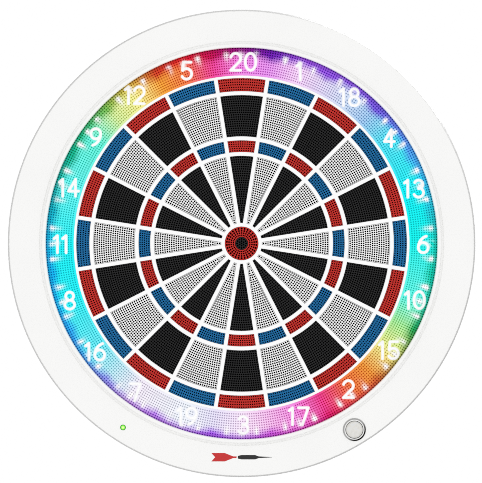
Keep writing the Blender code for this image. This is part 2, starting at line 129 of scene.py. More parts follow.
# bezel and housing
BEZEL_RADIUS = 0.2785
BEZEL_WALL = 0.0025
BEZEL_BACK = -0.0160
BEZEL_EDGE = 0.0004
BEZEL_FILLET = 0.0010
BEZEL_CHAMFER = (0.0018, 0.0052)  # how far it cuts in, and how far back it starts
RIM = (0.2334, 0.2376)
RIM_ROUND = 0.0012
RIM_HEIGHT = 0.0015
GROOVE_OUTER = 0.2410
GROOVE_DEPTH = 0.0014
HOUSING_RADIUS = 0.2760
HOUSING_WALL = 0.0025
HOUSING_FILLET = 0.0040
HOUSING_EDGE = 0.0003
HOUSING_GROOVES = (0.060, 0.120, 0.180)
HOUSING_GROOVE = (0.0022, 0.0016, 0.0007)  # half width at the surface and at the bottom, and depth
SCREW_DISTANCE = 0.2620
SCREW_ANGLES = (radians(20), radians(75), radians(125))
SCREW_RADIUS = 0.0036
SCREW_RECESS = (0.0046, 0.0016)  # radius and depth

# button, light and hanger
BUTTON_ANGLE = radians(148.8)
BUTTON_DISTANCE = 0.2590
BUTTON_RING_RADIUS = 0.0140
BUTTON_HOLE_RADIUS = 0.0125
BUTTON_BORE_RADIUS = 0.0106
BUTTON_RING_BEVEL = 0.0012  # width of the shallow slope round the cap
BUTTON_CAP_RADIUS = 0.0103
LIGHT_ANGLE = radians(212.8)
LIGHT_DISTANCE = 0.2605
LIGHT_RADIUS = 0.0032
LIGHT_COLLAR = (0.0013, 0.0015)  # how far it stands out behind the bezel, and its thickness
MARK_DISTANCE = 0.2544  # the printed dart, below the target
MARK_THICKNESS = 0.00006
HANGER_WINDOW = (0.012, 0.017)  # half width and half height
KEYHOLE = (0.0055, 0.00275, 0.0120)  # radius of the hole, radius of the slot, and the way between them
KEYHOLE_DROP = 0.0060  # of the hole, from the plate's middle
HANGER_CORNER = 0.003
HANGER_EDGE = 0.0003

# view
CAMERA_DISTANCE = 3.0
VIEW_WIDTH = 0.574062  # at the face of the web
AXIS_OFFSET = (0.000715, 0.002263)  # of the board's axis from the middle of the view, right and down
FLOOR_RADIUS = 2.2
FLOOR_HEIGHT = -0.75
FRONT_LIGHT = 1.04
BACK_LIGHT = 0.08
PANEL_LIGHT = 0.46  # what polished parts mirror, at the upper left and the lower right
PANEL_DARK = 0.01


def front_of(node):
    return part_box(node)[0].y


def back_of(node):
    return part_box(node)[1].y


KEY_FRONT = front_of("double_20")
KEY_BACK = back_of("double_20")
KEY_STEP = KEY_BACK - KEY_FLANGE
SPIDER_FRONT = front_of("spider")
SPIDER_BACK = KEY_STEP - GAP
RING_FRONT = front_of("number_ring")
RING_BACK = back_of("number_ring")
RIM_FRONT = front_of("front_bezel")
BEZEL_FRONT = RIM_FRONT + RIM_HEIGHT
HOUSING_FRONT = front_of("rear_housing")


# ---------------------------------------------------------------- mesh helpers
def place(distance, angle):
    """The x and z of a point at a distance from the board's centre."""
    return distance * sin(angle), distance * cos(angle)


def circle(radius, steps=ROUND_STEPS, centre=(0.0, 0.0)):
    points = []
    for i in range(steps):
        x, z = place(radius, 2 * pi * i / steps)
        points.append((centre[0] + x, centre[1] + z))
    return points


def rectangle(left, right, low, high):
    return [(left, low), (right, low), (right, high), (left, high)]


def sector(inner, outer, inset, steps=ARC_STEPS):
    """One wedge's outline, its sides held inset from the wedge's edges."""
    points = []
    for radius, sense in ((inner, 1), (outer, -1)):
        half = WEDGE / 2 - asin(inset / radius)
        for i in range(steps + 1):
            points.append(place(radius, sense * half * (2 * i / steps - 1)))
    return points


def turn_outline(outline, angle):
    return [place(hypot(x, z), atan2(x, z) + angle) for x, z in outline]


def soften(radius, front, steps=3):
    """A rounded front edge, as pairs of how far it is cut back and how deep it lies."""
    points = []
    for i in range(steps + 1):
        angle = i / steps * pi / 2
        points.append((radius * (1 - sin(angle)), front + radius * (1 - cos(angle))))
    return points


def fillet(centre, radius, start, end, steps=6):
    """Points of a rounded edge, as (radius, depth). Angles in degrees, 0 outwards and 90 to the front."""
    points = []
    for i in range(steps + 1):
        angle = radians(start + (end - start) * i / steps)
        points.append((centre[0] + radius * cos(angle), centre[1] - radius * sin(angle)))
    return points


class Solid:
    """A closed mesh in the making. Loops are lists of point numbers."""

    def __init__(self):
        self.points = []
        self.faces = []
        self.slots = []

    def loop(self, outline, depth):
        start = len(self.points)
        self.points += [(x, depth, z) for x, z in outline]
        return list(range(start, len(self.points)))

    def circles(self, profile, steps=ROUND_STEPS):
        """A loop for each (radius, depth). A radius of 0 gives one point."""
        return [self.loop(circle(radius, steps if radius else 1), depth) for radius, depth in profile]

    def face(self, corners, slot=0):
        self.faces.append(tuple(corners))
        self.slots.append(slot)

    def bridge(self, first, second, slot=0):
        """Faces between two loops, one of which may be a single point."""
        count = max(len(first), len(second))
        for i in range(count):
            j = (i + 1) % count
            if len(first) == 1:
                self.face((first[0], second[i], second[j]), slot)
            elif len(second) == 1:
                self.face((second[0], first[i], first[j]), slot)
            else:
                self.face((first[i], first[j], second[j], second[i]), slot)

    def stack(self, loops):
        """Bridge each loop to the next."""
        for first, second in zip(loops, loops[1:]):
            self.bridge(first, second)

    def fill(self, loops):
        """Triangles over the flat area inside the first loop and outside the others."""
        numbers, owner, edges = [], [], []
        for which, loop in enumerate(loops):
            start, count = len(numbers), len(loop)
            numbers += loop
            owner += [which] * count
            edges += [(start + i, start + (i + 1) % count) for i in range(count)]
        flat = [Vector((self.points[n][0], self.points[n][2])) for n in numbers]
        found = delaunay_2d_cdt(flat, edges, [], 1, 1e-9)
        source = [origins[0] if origins else None for origins in found[3]]
        for triangle in found[2]:
            corners = [source[i] for i in triangle]
            if None in corners:
                continue
            owners = {owner[c] for c in corners}
            if len(owners) == 1 and owners != {0}:
                continue
            self.face([numbers[c] for c in corners])

    def prism(self, outline, front, back):
        """A closed solid with straight sides."""
        ends = [self.loop(outline, depth) for depth in (front, back)]
        self.bridge(*ends)
        for end in ends:
            self.fill([end])

    def mesh(self, name, sharp=30):
        mesh = bpy.data.meshes.new(name)
        mesh.from_pydata(self.points, [], self.faces)
        mesh.polygons.foreach_set("material_index", self.slots)
        bm = bmesh.new()
        bm.from_mesh(mesh)
        bmesh.ops.remove_doubles(bm, verts=bm.verts[:], dist=1e-7)
        bmesh.ops.recalc_face_normals(bm, faces=bm.faces[:])
        bm.to_mesh(mesh)
        bm.free()
        return smooth(mesh, sharp)


def smooth(mesh, sharp=30):
    """Smooth shading, apart from edges sharper than that many degrees."""
    mesh.shade_smooth()
    mesh.set_sharp_from_angle(angle=radians(sharp))
    return mesh


def turned(mesh, angle, name):
    """A copy of a mesh, turned clockwise round the board."""
    copy = mesh.copy()
    copy.name = name
    copy.transform(Matrix.Rotation(angle, 4, "Y"))
    return copy


def lathed(name, profile, steps=360, closed=False, at=(0.0, 0.0)):
    """A profile of (radius, depth) points turned about the y axis, then moved to its place."""
    solid = Solid()
    loops = solid.circles(profile, steps)
    solid.stack(loops + loops[:1] if closed else loops)
    return moved(solid.mesh(name), *at)


def moved(mesh, x, z):
    mesh.transform(Matrix.Translation((x, 0.0, z)))
    return mesh


def add_piece(name, mesh, looks, body, nodes=()):
    """One piece that rides on a body and may stand for CAD nodes."""
    obj = bpy.data.objects.new(name, mesh)
    bpy.context.scene.collection.objects.link(obj)
    for look in looks:
        mesh.materials.append(look)
    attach(obj, body)
    if nodes:
        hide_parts(*nodes)
    return obj


def carve(mesh, cutter, name):
    """The mesh with another one taken out of it."""
    pair = []
    for part in (mesh, cutter):
        obj = bpy.data.objects.new(part.name, part)
        bpy.context.scene.collection.objects.link(obj)
        pair.append(obj)
    modifier = pair[0].modifiers.new("carve", "BOOLEAN")
    modifier.operation = "DIFFERENCE"
    modifier.solver = "EXACT"
    modifier.object = pair[1]
    graph = bpy.context.evaluated_depsgraph_get()
    result = bpy.data.meshes.new_from_object(pair[0].evaluated_get(graph))
    result.name = name
    for obj in pair:
        bpy.data.objects.remove(obj)
    return smooth(result)


# ---------------------------------------------------------------- materials
class Nodes:
    """Nodes of a material or a world. A source is another node's output, or a value."""

    def __init__(self, tree):
        self.nodes = tree.nodes
        self.links = tree.links

    def add(self, kind, sources=None, **settings):
        node = self.nodes.new(kind)
        for key, value in settings.items():
            setattr(node, key, value)
        for socket, source in (sources or {}).items():
            if hasattr(source, "links"):
                self.links.new(source, node.inputs[socket])
            else:
                node.inputs[socket].default_value = source
        return node

    def math(self, operation, *sources, clamp=False):
        node = self.add("ShaderNodeMath", dict(enumerate(sources)), operation=operation, use_clamp=clamp)
        return node.outputs[0]


class Look(Nodes):
    """A material: a Principled shader and the nodes that drive it."""

    def __init__(self, name, colour, roughness, **sockets):
        self.material = bpy.data.materials.new(name)
        self.material.use_nodes = True
        super().__init__(self.material.node_tree)
        self.shader = self.nodes["Principled BSDF"]
        self.colour = colour
        self.roughness = roughness
        self.set("Base Color", (*colour, 1.0))
        self.set("Roughness", roughness)
        for socket, value in sockets.items():
            self.set(socket.replace("_", " "), value)
        self.material.diffuse_color = (*colour, 1.0)
        self.place = self.add("ShaderNodeTexCoord").outputs["Object"]

    def set(self, socket, value):
        self.shader.inputs[socket].default_value = value

    def drive(self, socket, source):
        self.links.new(source, self.shader.inputs[socket])

    def position(self):
        """The x and z of the point being shaded."""
        split = self.add("ShaderNodeSeparateXYZ", {0: self.place})
        return split.outputs[0], split.outputs[2]

    def length(self, across, up):
        square = self.math("MULTIPLY_ADD", up, up, self.math("MULTIPLY", across, across))
        return self.math("SQRT", square)

    def rise(self, value, start, width):
        """0 up to the start, 1 from the start plus the width, and straight between."""
        return self.math("DIVIDE", self.math("SUBTRACT", value, start), width, clamp=True)

    def noise(self, size, detail=2.0, stretch=(1.0, 1.0, 1.0), offset=0.0):
        """Noise whose features are about that size, in metres."""
        mapping = {"Vector": self.place, "Location": (offset,) * 3, "Scale": stretch}
        place = self.add("ShaderNodeMapping", mapping).outputs["Vector"]
        noise = {"Vector": place, "Scale": 1.0 / size, "Detail": detail}
        return self.add("ShaderNodeTexNoise", noise).outputs["Fac"]

    def cells(self, scale, **settings):
        """Distance field of a cell pattern."""
        node = self.add("ShaderNodeTexVoronoi", {"Vector": self.place, "Scale": scale}, **settings)
        return node.outputs["Distance"]

    def ramp(self, factor, stops):
        node = self.add("ShaderNodeValToRGB", {"Fac": factor})
        elements = node.color_ramp.elements
        while len(elements) > 1:
            elements.remove(elements[-1])
        elements[0].position = stops[0][0]
        elements[0].color = (*stops[0][1], 1.0)
        for position, colour in stops[1:]:
            elements.new(position).color = (*colour, 1.0)
        return node.outputs["Color"]

    def mix(self, factor, first, second, blend="MIX"):
        first, second = [(*c, 1.0) if isinstance(c, tuple) else c for c in (first, second)]
        node = self.add("ShaderNodeMix", data_type="RGBA", blend_type=blend,
                        sources={0: factor, 6: first, 7: second})
        return node.outputs[2]

    def times(self, first, second):
        return self.mix(1.0, first, second, blend="MULTIPLY")

    def vary_colour(self, size, amount):
        """Let the base colour drift lighter and darker over the surface."""
        dark = tuple(c * (1.0 - amount) for c in self.colour)
        light = tuple(min(1.0, c * (1.0 + amount)) for c in self.colour)
        self.drive("Base Color", self.ramp(self.noise(size, 3.0), ((0.3, dark), (0.7, light))))

    def vary_roughness(self, size, amount):
        noise = self.noise(size, offset=3.1)
        self.drive("Roughness", self.math("MULTIPLY_ADD", noise, 2 * amount, self.roughness - amount))

    def bump(self, height, distance, strength=1.0):
        node = self.add("ShaderNodeBump", {"Height": height, "Distance": distance, "Strength": strength})
        self.drive("Normal", node.outputs["Normal"])


def plastic(name, colour, roughness, drift=0.04, grain=0.000015, grain_size=0.0006, **sockets):
    """Moulded plastic: fine spark-eroded grain, slight drift in colour and gloss."""
    look = Look(name, colour, roughness, **sockets)
    look.vary_colour(0.06, drift)
    look.vary_roughness(0.012, 0.06)
    look.bump(look.noise(grain_size, 3.0), grain)
    return look.material


def clock(look):
    """Angle clockwise from the top, the same as turns from the bottom, and distance from the centre."""
    x, z = look.position()
    around = look.math("ARCTAN2", x, z)
    turn = look.math("MULTIPLY_ADD", around, 0.5 / pi, 0.5)
    return around, turn, look.length(x, z)


# Colours of the light behind the ring, clockwise from the bottom: angle, outer edge, inner part.
LIGHT_COLOURS = (
    (0, (0.5, 0.14, 0.86), (0.94, 0.8, 0.96)),
    (9, (0.42, 0.12, 0.86), (0.80, 0.76, 0.94)),
    (18, (0.48, 0.19, 0.86), (0.86, 0.90, 0.96)),
    (36, (0.54, 0.26, 0.86), (0.9, 0.84, 0.94)),
    (54, (0.05, 0.36, 0.88), (0.16, 0.84, 0.93)),
    (72, (0.005, 0.48, 0.92), (0.02, 0.88, 0.93)),
    (90, (0.005, 0.46, 0.8), (0.01, 0.88, 0.92)),
    (108, (0.005, 0.46, 0.4), (0.14, 0.91, 0.88)),
    (126, (0.01, 0.52, 0.22), (0.15, 0.90, 0.72)),
    (135, (0.22, 0.54, 0.1), (0.7, 0.88, 0.38)),
    (144, (0.74, 0.52, 0.07), (0.94, 0.88, 0.32)),
    (153, (0.66, 0.06, 0.02), (0.92, 0.38, 0.04)),
    (162, (0.8, 0.008, 0.02), (0.90, 0.20, 0.08)),
    (171, (0.58, 0.005, 0.1), (0.88, 0.06, 0.36)),
    (180, (0.34, 0.005, 0.28), (0.90, 0.28, 0.82)),
    (189, (0.16, 0.01, 0.46), (0.82, 0.32, 0.88)),
    (198, (0.34, 0.08, 0.76), (0.92, 0.66, 0.94)),
    (216, (0.28, 0.11, 0.80), (0.64, 0.74, 0.92)),
    (225, (0.20, 0.11, 0.76), (0.38, 0.62, 0.90)),
    (234, (0.13, 0.26, 0.88), (0.10, 0.78, 0.92)),
    (252, (0.03, 0.58, 0.9), (0.005, 0.88, 0.93)),
    (270, (0.005, 0.66, 0.52), (0.005, 0.90, 0.86)),
    (288, (0.005, 0.58, 0.38), (0.14, 0.92, 0.80)),
    (297, (0.02, 0.42, 0.1), (0.42, 0.86, 0.36)),
    (306, (0.46, 0.5, 0.12), (0.88, 0.86, 0.32)),
    (315, (0.64, 0.13, 0.03), (0.88, 0.34, 0.05)),
    (324, (0.8, 0.06, 0.07), (0.88, 0.17, 0.06)),
    (333, (0.76, 0.01, 0.16), (0.88, 0.05, 0.30)),
    (342, (0.76, 0.07, 0.6), (0.90, 0.26, 0.76)),
    (360, (0.5, 0.14, 0.86), (0.94, 0.8, 0.96)),
)


def ring_look(name, depth_shade=1.0):
    """Translucent ring lit from behind. depth_shade darkens and deepens what lies in the holes."""
    look = Look(name, (0.5, 0.5, 0.5), 0.45, Specular_IOR_Level=0.08)
    around, turn, distance = clock(look)
    outer = look.ramp(turn, [(a / 360, out) for a, out, _ in LIGHT_COLOURS])
    inner = look.ramp(turn, [(a / 360, inn) for a, _, inn in LIGHT_COLOURS])

    # pale near each number, deeper between two numbers and towards the outer edge
    wander = look.math("MULTIPLY_ADD", look.noise(0.006), 2 * FADE_WANDER, -FADE_WANDER)
    fold = look.math("PINGPONG", look.math("DIVIDE", around, WEDGE), 0.5)
    between = look.math("POWER", look.math("MULTIPLY", fold, 2.0), 2.0)
    reach = look.math("ADD", look.math("MULTIPLY_ADD", between, FADE_FOLD, distance), wander)
    start = look.math("MULTIPLY_ADD", look.math("COSINE", around), -FADE_DROP, FADE_START)
    across = look.math("POWER", look.rise(reach, start, FADE_WIDTH), 1.2)
    colour = look.mix(across, inner, outer)

    # the rim throws a shadow on the outermost few millimetres
    shadow = look.math("MULTIPLY", look.rise(distance, SHADOW_START, SHADOW_WIDTH), SHADOW_STRENGTH)
    colour = look.mix(shadow, colour, look.times(outer, (0.3, 0.2, 0.3)))

    # three bright spots behind each number, streaking inwards
    sideways, outwards, inwards = LED_SPREAD
    side = look.math("ABSOLUTE", look.math("WRAP", around, WEDGE / 2, -WEDGE / 2))
    nearest = look.math("MINIMUM", side, look.math("ABSOLUTE", look.math("SUBTRACT", side, LED_SPACING)))
    along = look.math("DIVIDE", look.math("MULTIPLY", nearest, LED_DISTANCE), sideways)
    above = look.math("DIVIDE", look.math("SUBTRACT", distance, LED_DISTANCE), outwards)
    below = look.math("DIVIDE", look.math("SUBTRACT", LED_DISTANCE, distance), inwards)
    radial = look.math("MAXIMUM", above, below)
    far = look.math("ADD", look.math("POWER", along, 2.0), look.math("POWER", radial, 2.0))
    spot = look.math("MULTIPLY", look.math("POWER", 0.5, far), 1.5)
    patchy = look.math("MULTIPLY_ADD", look.noise(0.011, 1.0, offset=5.0), 2.8, -0.80, clamp=True)
    colour = look.mix(look.math("MULTIPLY", spot, patchy, clamp=True), colour, (1.0, 0.98, 1.0))

    if depth_shade < 1.0:
        deeper = look.mix(HOLE_DEEPENING, colour, look.times(colour, colour))
        colour = look.times(deeper, (depth_shade,) * 3)
    # the plastic's base colour is the light's colour scaled down: painted light, with the painted shadow and,
    # in the holes, the painted hole shade in it
    look.drive("Base Color", look.times(colour, (RING_PAINT,) * 3))
    look.drive("Emission Color", colour)
    look.set("Emission Strength", RING_GLOW)
    look.vary_roughness(0.01, 0.05)
    look.bump(look.noise(0.0008), 0.00001)
    return look.material


def status_look():
    """A small green lens, brightest in its middle."""
    look = Look("status_green", (0.05, 0.30, 0.02), 0.15, Coat_Weight=0.4)
    centre = place(LIGHT_DISTANCE, LIGHT_ANGLE)
    x, z = look.position()
    away = look.length(look.math("SUBTRACT", x, centre[0]), look.math("SUBTRACT", z, centre[1]))
    share = look.math("MULTIPLY_ADD", look.noise(0.001, 1.0), 0.1, look.math("DIVIDE", away, LIGHT_RADIUS))
    colour = look.ramp(share, ((0.0, (0.62, 1.0, 0.30)), (0.35, (0.42, 1.0, 0.16)),
                               (0.75, (0.10, 0.55, 0.03)), (1.0, (0.02, 0.14, 0.0))))
    look.drive("Base Color", colour)
    look.drive("Emission Color", colour)
    look.set("Emission Strength", 0.7)
    return look.material


def metal(name, colour, roughness, stretch=(1.0, 1.0, 1.0), grain=0.000004):
    """Bare or plated metal with fine polishing marks."""
    look = Look(name, colour, roughness, Metallic=1.0)
    look.vary_colour(0.01, 0.05)
    look.vary_roughness(0.004, 0.04)
    look.bump(look.noise(0.0008, 3.0, stretch=stretch), grain)
    return look.material


def pearl():
    """Button cap: smooth off-white plastic with a faint mother-of-pearl drift."""
    look = Look("pearl", (0.72, 0.71, 0.68), 0.22, Coat_Weight=0.5, Coat_Roughness=0.08)
    drift = look.ramp(look.noise(0.004, 4.0), ((0.35, (0.67, 0.66, 0.63)), (0.5, (0.72, 0.71, 0.67)),
                                              (0.65, (0.70, 0.71, 0.71))))
    look.drive("Base Color", drift)
    look.vary_roughness(0.003, 0.03)
    look.bump(look.noise(0.0015), 0.000004)
    return look.material


def two_tone(look, factor, low, high, edge, blur):
    """One colour up to the edge and another beyond it, with a little blur between."""
    stops = ((0.0, low), (edge, low), (edge + blur, high), (1.0, high))
    look.drive("Base Color", look.ramp(factor, stops))


def circuit_board(name):
    """Green solder mask with copper traces under it."""
    look = Look(name, (0.012, 0.11, 0.035), 0.35, Coat_Weight=0.3)
    traces = look.cells(180.0, feature="DISTANCE_TO_EDGE", distance="MANHATTAN")
    two_tone(look, traces, (0.02, 0.20, 0.06), (0.010, 0.10, 0.03), 0.06, 0.02)
    look.vary_roughness(0.004, 0.08)
    look.bump(traces, 0.00003, 0.4)
    return look.material


def foam():
    """Open-cell foam."""
    look = Look("foam", (0.045, 0.045, 0.050), 0.95, Specular_IOR_Level=0.1)
    look.vary_colour(0.01, 0.25)
    look.bump(look.cells(900.0), 0.0003)
    return look.material


def membrane():
    """Clear film with printed silver tracks in rings."""
    look = Look("membrane", (0.60, 0.62, 0.60), 0.30)
    distance = look.length(*look.position())
    track = look.math("PINGPONG", look.math("DIVIDE", distance, 0.006), 0.5)
    two_tone(look, track, (0.30, 0.31, 0.31), (0.62, 0.64, 0.61), 0.08, 0.04)
    look.vary_roughness(0.02, 0.06)
    look.bump(look.noise(0.004), 0.00001)
    return look.material


WHITE = plastic("white_plastic", (0.90, 0.90, 0.89), 0.42, drift=0.008, grain=0.000003)
WEB = plastic("web_plastic", (0.94, 0.94, 0.94), 0.40, drift=0.006, grain=0.000003)
NUMERAL = plastic("numeral_plastic", (0.97, 0.97, 0.97), 0.35, drift=0.004, grain=0.000005)
KEY_LOOKS = {}
# Each key colour also has a hole colour, a darker look for the walls and floors of its holes: painted shade
# in the holes, not a colour of the plastic.
for key, colour, roughness, drift, specular, hole, hole_roughness in (
        ("white", (0.84, 0.84, 0.84), 0.45, 0.02, 0.5, (0.006, 0.006, 0.006), 0.80),
        ("black", (0.0120, 0.0120, 0.0128), 0.50, 0.10, 0.22, (0.002, 0.002, 0.002), 0.80),
        ("red", (0.49, 0.022, 0.016), 0.42, 0.05, 0.15, (0.20, 0.002, 0.002), 0.70),
        ("blue", (0.006, 0.124, 0.310), 0.42, 0.05, 0.15, (0.002, 0.028, 0.09), 0.70)):
    KEY_LOOKS[key] = (plastic("segment_" + key, colour, roughness, drift, Specular_IOR_Level=specular),
                      plastic(f"segment_{key}_holes", hole, hole_roughness, Specular_IOR_Level=0.02))
RING_LOOK = ring_look("lit_ring")
RING_HOLE_LOOK = ring_look("lit_ring_holes", HOLE_SHADE)
HOUSING_LOOK = plastic("black_plastic", (0.018, 0.018, 0.019), 0.55, drift=0.08, grain=0.00005,
                       grain_size=0.0009)
CHROME = metal("chrome", (0.80, 0.80, 0.79), 0.08)
STEEL = metal("steel", (0.55, 0.55, 0.56), 0.32, stretch=(1.0, 1.0, 14.0), grain=0.00001)
RUBBER = plastic("rubber", (0.012, 0.012, 0.012), 0.85, drift=0.15, grain=0.00004, Specular_IOR_Level=0.2)
MARK_RED = plastic("mark_red", (0.55, 0.012, 0.012), 0.5, drift=0.03, grain=0.000003)
MARK_BLACK = plastic("mark_black", (0.012, 0.012, 0.012), 0.5, drift=0.05, grain=0.000003)


# ---------------------------------------------------------------- keys
def hole_centres(inner, outer, inset):
    """Rows that follow the arcs. Every row keeps the same margin from the key's straight sides."""
    low, high = inner + HOLE_MARGIN, outer - HOLE_MARGIN
    rows = round((high - low) / HOLE_PITCH[0])
    centres = []
    for i in range(rows + 1):
        radius = low + (high - low) * i / rows
        half = WEDGE / 2 - asin((inset + HOLE_MARGIN) / radius)
        if half < 0.0:
            continue
        gaps = round(2 * half * radius / HOLE_PITCH[1])
        for j in range(gaps + 1):
            centres.append(place(radius, half * (2 * j / gaps - 1) if gaps else 0.0))
    return centres


def perforate(solid, edges, holes, front, depth=HOLE_DEPTH, sides=HOLE_SIDES):
    """Fill a front face inside its edges, leaving blind holes whose walls and floors take the second look, a
    darker copy with painted shade. A hole is (centre, radius).
    """
    outlines = [circle(radius, sides, centre) for centre, radius in holes]
    mouths = [solid.loop(outline, front) for outline in outlines]
    floors = [solid.loop(outline, front + depth) for outline in outlines]
    solid.fill(edges + mouths)
    for mouth, floor in zip(mouths, floors):
        solid.bridge(mouth, floor, slot=1)
        solid.face(floor, slot=1)


def key_mesh(name, band, hole_radius):
    """A key of one band at the top of the board: perforated face on a wider flange."""
    inner, outer, inset = band[0] + GAP, band[1] - GAP, BAR_WIDTH / 2 + GAP
    solid = Solid()
    loops = []
    for grow, depth in ((-KEY_BEVEL, KEY_FRONT), (0.0, KEY_FRONT + KEY_BEVEL), (0.0, KEY_STEP),
                        (KEY_LIP, KEY_STEP), (KEY_LIP, KEY_BACK)):
        loops.append(solid.loop(sector(inner - grow, outer + grow, inset - grow), depth))
    solid.stack(loops)
    solid.fill([loops[-1]])
    holes = [(centre, hole_radius) for centre in hole_centres(inner, outer, inset)]
    perforate(solid, [loops[0]], holes, KEY_FRONT)
    return solid.mesh(name)


def add_key(name, mesh, colour, node):
    add_piece(name, mesh, KEY_LOOKS[colour], node, [node])


def make_keys():
    for prefix, band, colours in (("double", DOUBLE, ("red", "blue")), ("treble", TREBLE, ("red", "blue")),
                                  ("outer_single", OUTER_SINGLE, ("black", "white")),
                                  ("inner_single", INNER_SINGLE, ("black", "white"))):
        single = prefix.endswith("single")
        first = key_mesh(prefix + "_key", band, SINGLE_HOLE_RADIUS if single else NARROW_HOLE_RADIUS)
        for index, number in enumerate(NUMBERS):
            name = f"{prefix}_{number:02d}_key"
            node = prefix + "s" if single else f"{prefix}_{number:02d}"
            add_key(name, turned(first, index * WEDGE, name), colours[index % 2], node)


def make_bulls():
    bore = BULL_RADIUS + GAP
    face = OUTER_BULL_RADIUS
    flange = face + KEY_LIP
    shoulder = KEY_FRONT + KEY_BEVEL
    solid = Solid()
    profile = ((face - KEY_BEVEL, KEY_FRONT), (face, shoulder), (face, KEY_STEP), (flange, KEY_STEP),
               (flange, KEY_BACK), (bore, KEY_BACK), (bore, shoulder), (bore + KEY_BEVEL, KEY_FRONT))
    loops = solid.circles(profile, HUB_STEPS)
    solid.stack(loops)
    holes = []
    for row in range(OUTER_BULL_ROWS):
        distance = bore + OUTER_BULL_MARGIN + row * HOLE_PITCH[1]
        hole_radius = OUTER_BULL_HOLE_RADIUS[0] + OUTER_BULL_HOLE_RADIUS[1] * row
        for i in range(OUTER_BULL_COLUMNS):
            holes.append((place(distance, 2 * pi * i / OUTER_BULL_COLUMNS), hole_radius))
    perforate(solid, [loops[0], loops[-1]], holes, KEY_FRONT)
    add_key("outer_bull_key", solid.mesh("outer_bull_key"), "red", "outer_bull")

    solid = Solid()
    face = BULL_RADIUS
    loops = solid.circles(((face - KEY_BEVEL, KEY_FRONT), (face, shoulder), (face, KEY_BACK)), 64)
    solid.stack(loops)
    solid.fill([loops[-1]])
    holes = []
    for row, count in BULL_HOLES:
        for i in range(count):
            holes.append((place(row * BULL_HOLE_PITCH, 2 * pi * i / count), BULL_HOLE_RADIUS))
    perforate(solid, [loops[0]], holes, KEY_FRONT)
    add_key("bull_key", solid.mesh("bull_key"), "black", "bull")


# ---------------------------------------------------------------- web between the keys
def make_spider():
    """White web with rounded edges, an opening for each key and a wall that stands on the plate."""
    solid = Solid()
    edge = soften(SPIDER_ROUND, SPIDER_FRONT)
    sides = edge + [(0.0, SPIDER_BACK)]
    hub = OUTER_BULL_RADIUS + GAP
    openings = [solid.circles([(hub + grow, depth) for grow, depth in sides], HUB_STEPS)]
    for inner, outer in (INNER_SINGLE, TREBLE, OUTER_SINGLE, DOUBLE):
        for index in range(len(NUMBERS)):
            loops = []
            for grow, depth in sides:
                outline = sector(inner - grow, outer + grow, BAR_WIDTH / 2 - grow)
                loops.append(solid.loop(turn_outline(outline, index * WEDGE), depth))
            openings.append(loops)
    foot_radius, foot_front, foot_back = SPIDER_FOOT
    wall_inner = SPIDER_RADIUS - SPIDER_WALL
    profile = [(SPIDER_RADIUS - grow, depth) for grow, depth in edge]
    profile += [(SPIDER_RADIUS, foot_front), (foot_radius, foot_front), (foot_radius, foot_back),
                (wall_inner, foot_back), (wall_inner, SPIDER_BACK)]
    outside = solid.circles(profile)
    for loops in [outside] + openings:
        solid.stack(loops)
    for end in (0, -1):
        solid.fill([outside[end]] + [loops[end] for loops in openings])
    add_piece("web", solid.mesh("web", sharp=40), [WEB], "housing", ["spider"])


# ---------------------------------------------------------------- numbers
def arc(cx, cz, rx, rz, start, end):
    """Points along an ellipse, angles in degrees anticlockwise from the right."""
    count = max(2, int(abs(end - start) / 8))
    points = []
    for i in range(count + 1):
        angle = radians(start + (end - start) * i / count)
        points.append((cx + rx * cos(angle), cz + rz * sin(angle)))
    return points


# Strokes of each digit, in a box one unit high with its middle at the origin.
DIGITS = {
    "0": [arc(0.0, 0.0, 0.31, 0.5, 0, 360)],
    "1": [[(-0.14, 0.33), (0.06, 0.5), (0.06, -0.5)]],
    "2": [arc(0.0, 0.20, 0.29, 0.30, 165, -35) + [(-0.29, -0.5), (0.30, -0.5)]],
    "3": [arc(0.0, 0.25, 0.25, 0.25, 155, -90), arc(0.0, -0.23, 0.29, 0.27, 90, -155)],
    "4": [[(0.12, -0.5), (0.12, 0.5), (-0.29, -0.20), (0.30, -0.20)]],
    "5": [[(0.25, 0.5), (-0.20, 0.5), (-0.25, 0.03)] + arc(-0.01, -0.19, 0.30, 0.31, 140, -150)],
    "6": [arc(0.0, -0.20, 0.29, 0.30, 0, 360), arc(0.36, -0.20, 0.65, 0.70, 180, 106)],
    "7": [[(-0.29, 0.5), (0.29, 0.5), (-0.06, -0.5)]],
    "8": [arc(0.0, 0.26, 0.23, 0.24, 0, 360), arc(0.0, -0.24, 0.29, 0.26, 0, 360)],
    "9": [arc(0.0, 0.20, 0.29, 0.30, 0, 360), arc(-0.36, 0.20, 0.65, 0.70, 0, -74)],
}


def numeral_strokes(index, number):
    """The strokes of a number as line segments, half way between the web and the rim."""
    digits = str(number)
    widths = [ONE_WIDTH if digit == "1" else DIGIT_WIDTH for digit in digits]
    left = -sum(widths) / 2
    strokes = []
    for digit, width in zip(digits, widths):
        for stroke in DIGITS[digit]:
            strokes.append([(left + width / 2 + x * NUMERAL_HEIGHT, z * NUMERAL_HEIGHT) for x, z in stroke])
        left += width
    middle = (SPIDER_RADIUS + RIM[0]) / 2
    distance = middle
    for _ in range(5):
        cx, cz = place(distance, index * WEDGE)
        cx, cz = cx + NUMERAL_SHIFT[0], cz + NUMERAL_SHIFT[1]
        reaches = [hypot(cx + x, cz + z) for stroke in strokes for x, z in stroke]
        distance += middle - (min(reaches) + max(reaches)) / 2
    segments = []
    for stroke in strokes:
        points = [(cx + x, cz + z) for x, z in stroke]
        segments += list(zip(points, points[1:]))
    return segments


def stroke_distance(x, z, segments):
    """How far a point lies from the nearest stroke, and the way there."""
    best = None
    for (ax, az), (bx, bz) in segments:
        dx, dz = bx - ax, bz - az
        length = dx * dx + dz * dz
        share = max(0.0, min(1.0, ((x - ax) * dx + (z - az) * dz) / length)) if length else 0.0
        away = hypot(x - ax - share * dx, z - az - share * dz)
        if best is None or away < best[0]:
            best = (away, ax + share * dx, az + share * dz)
    return best


